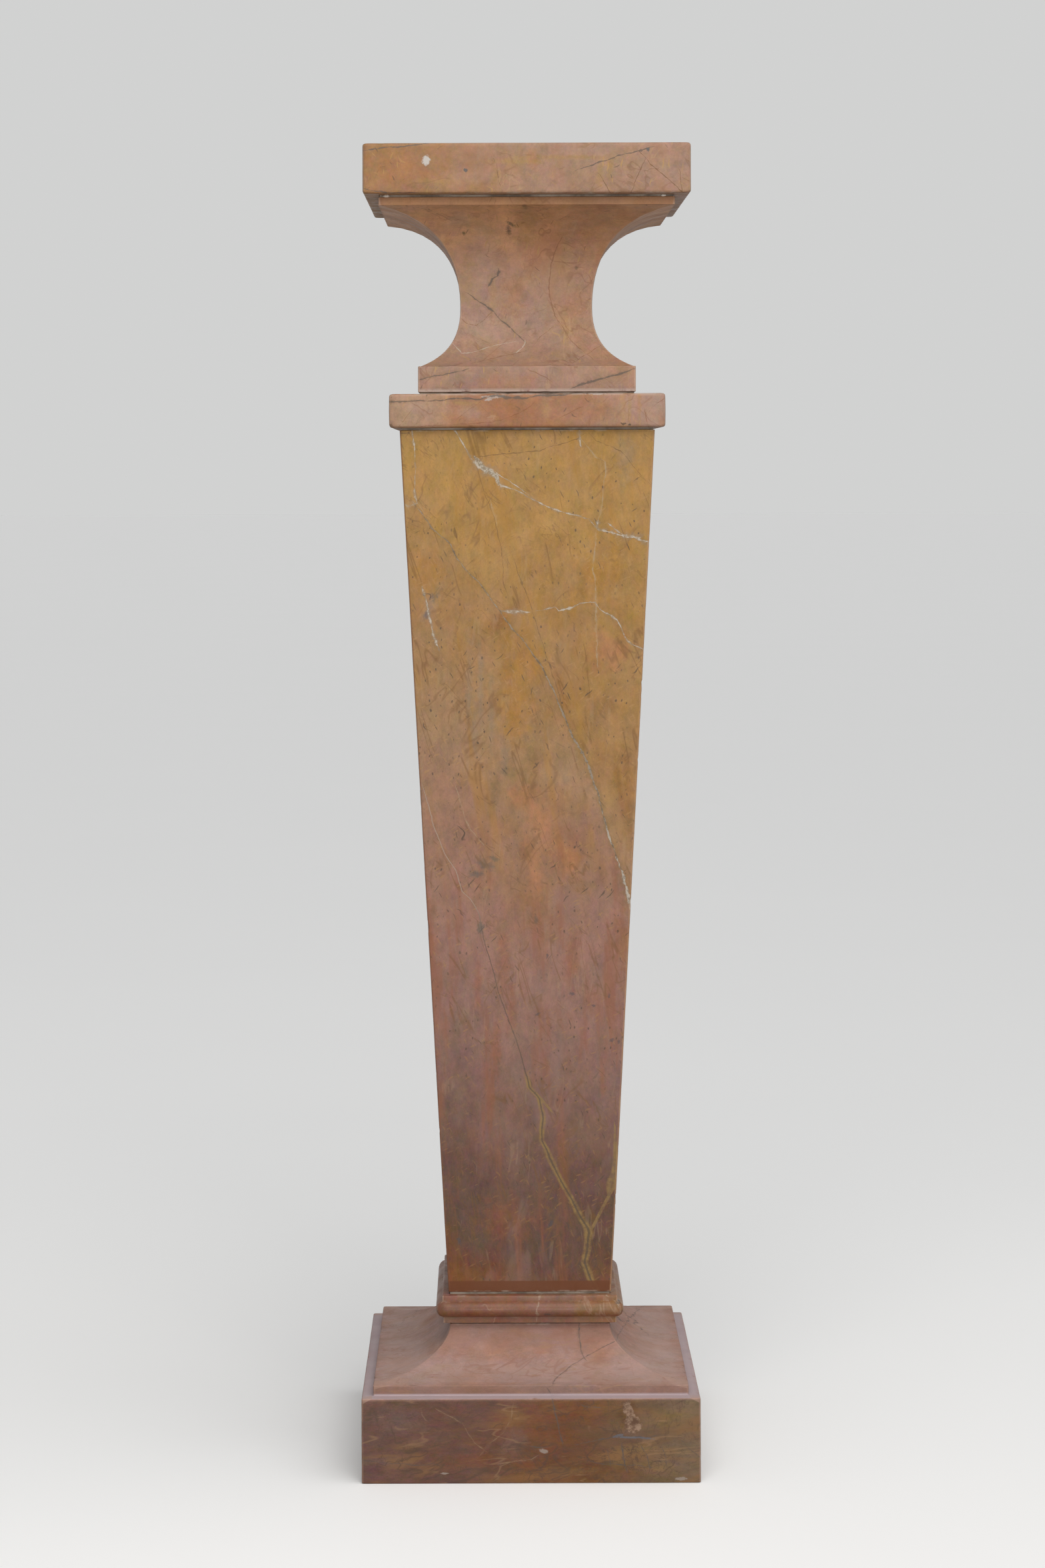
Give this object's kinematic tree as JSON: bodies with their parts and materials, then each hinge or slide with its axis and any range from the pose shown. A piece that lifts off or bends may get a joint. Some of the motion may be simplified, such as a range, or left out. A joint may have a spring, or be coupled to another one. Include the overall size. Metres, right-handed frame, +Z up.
{
  "type": "pedestal column",
  "caption": "Square marble pedestal that widens upwards, with a flared plinth, a collar moulding and a hollowed neck under a thick top slab.",
  "frame": {"origin": "middle of the plinth's underside", "axes": "+Z up along the column, X and Y square to its faces, front faces -Y"},
  "size_m": [0.3, 0.3, 1.185],
  "materials": {
    "plinth_marble": "polished red-brown marble",
    "collar_marble": "polished tan marble",
    "shaft_marble": "polished ochre to mauve marble with white veins",
    "cap_marble": "polished pink marble",
    "neck_marble": "polished tan marble",
    "top_marble": "polished orange-tan marble",
    "mortar": "matt pale grey mortar",
    "dowel_steel": "plain"
  },
  "bodies": {
    "root": {"plinth": "plinth_marble", "collar": "collar_marble", "shaft": "shaft_marble", "cap_slab": "cap_marble", "neck": "neck_marble", "top_slab": "top_marble", "mortar_under_collar": "mortar", "mortar_under_shaft": "mortar", "mortar_under_cap": "mortar", "mortar_under_neck": "mortar", "mortar_under_top": "mortar", "dowel_foot": "dowel_steel", "dowel_head": "dowel_steel", "dowel_top": "dowel_steel"}
  },
  "joints": []
}
